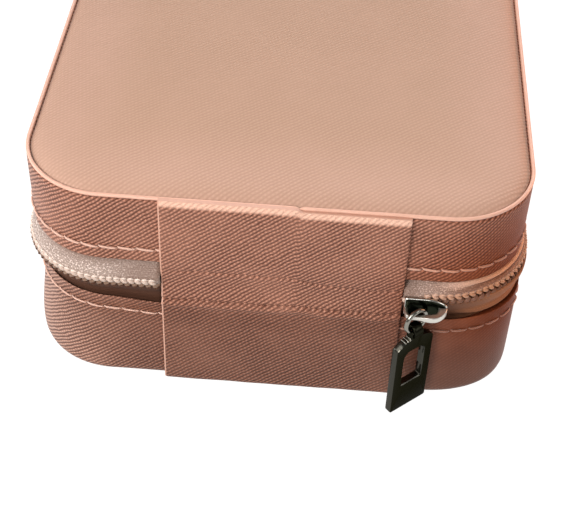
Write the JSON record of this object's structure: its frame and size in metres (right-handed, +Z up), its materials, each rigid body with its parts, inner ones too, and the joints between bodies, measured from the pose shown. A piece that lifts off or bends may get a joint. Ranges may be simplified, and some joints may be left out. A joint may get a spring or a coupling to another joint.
{
  "type": "jewelry box",
  "caption": "Small square zip-round jewelry travel case in cross-grain leather, with a padded lid, leather hinge panel, ring rolls, dividers and necklace hooks.",
  "frame": {"origin": "centre of the flat underside of the base", "axes": "+Z up; -Y towards the back, where the leather hinge panel is; +X right when facing that panel"},
  "size_m": [0.1024, 0.1097, 0.051],
  "materials": {
    "leather": "cross-grain embossed, satin",
    "leather_top": "cross-grain embossed, satin, padded",
    "piping": "smooth, satin",
    "tape": "woven",
    "teeth": "satin nylon",
    "board": "matte",
    "foam": "soft foam",
    "velvet": "short pile",
    "elastic": "gathered",
    "nickel": "polished",
    "gunmetal": "dark, polished"
  },
  "bodies": {
    "base": {"base_wall_leather": "leather", "base_bottom_leather": "leather", "base_board": "board", "base_lining": "velvet", "long_divider": "velvet", "hinge_panel": "leather", "hinge_strip": "tape", "lower_zip_tape": "tape", "lower_zip_teeth": "teeth", "ring_roll_1": "velvet", "ring_roll_2": "velvet", "ring_roll_3": "velvet", "ring_roll_4": "velvet", "ring_roll_5": "velvet"},
    "lid": {"lid_wall_leather": "leather", "lid_top_leather": "leather_top", "lid_piping": "piping", "lid_foam_pad": "foam", "lid_board": "board", "lid_lining": "velvet", "pocket_panel": "velvet", "pocket_elastic": "elastic", "hook_strap": "leather", "upper_zip_tape": "tape", "upper_zip_teeth": "teeth", "snap_stud_1": "nickel", "snap_stud_2": "nickel", "snap_stud_3": "nickel"},
    "slider": {"slider_body": "nickel"},
    "ring": {"pull_ring": "nickel"},
    "tab": {"pull_tab": "gunmetal"},
    "cross_divider_1": {"cross_divider_1": "velvet"},
    "cross_divider_2": {"cross_divider_2": "velvet"},
    "hook_1": {"hook_tab_1": "leather", "snap_cap_1": "nickel"},
    "hook_2": {"hook_tab_2": "leather", "snap_cap_2": "nickel"},
    "hook_3": {"hook_tab_3": "leather", "snap_cap_3": "nickel"}
  },
  "joints": [
    {"name": "lid_hinge", "type": "hinge", "parent": "base", "child": "lid", "pos_m": [0, -0.0506, 0.0295], "axis": [1, 0, 0], "range_deg": [0, 95], "deforming": ["hinge_panel", "hinge_strip", "upper_zip_tape", "upper_zip_teeth"]},
    {"name": "slider_run", "type": "hinge", "parent": "base", "child": "slider", "pos_m": [0.033, -0.033, 0.02775], "axis": [0, 0, 1], "range_deg": [0, 90]},
    {"name": "ring_swing", "type": "hinge", "parent": "slider", "child": "ring", "pos_m": [0.0289, -0.0548, 0.0273], "axis": [1, 0, 0], "range_deg": [-100, 0]},
    {"name": "tab_swing", "type": "hinge", "parent": "ring", "child": "tab", "pos_m": [0.0289, -0.0548, 0.024], "axis": [0.7547, 0.6561, 0], "range_deg": [-60, 0]},
    {"name": "cross_divider_1_lift", "type": "slide", "parent": "base", "child": "cross_divider_1", "axis": [0, 0, 1], "range_m": [0, 0.017]},
    {"name": "cross_divider_2_lift", "type": "slide", "parent": "base", "child": "cross_divider_2", "axis": [0, 0, 1], "range_m": [0, 0.017]},
    {"name": "hook_1_flip", "type": "hinge", "parent": "lid", "child": "hook_1", "pos_m": [-0.024, 0.0385, 0.0404], "axis": [1, 0, 0], "range_deg": [0, 75]},
    {"name": "hook_2_flip", "type": "hinge", "parent": "lid", "child": "hook_2", "pos_m": [0, 0.0385, 0.0404], "axis": [1, 0, 0], "range_deg": [0, 75]},
    {"name": "hook_3_flip", "type": "hinge", "parent": "lid", "child": "hook_3", "pos_m": [0.024, 0.0385, 0.0404], "axis": [1, 0, 0], "range_deg": [0, 75]}
  ]
}
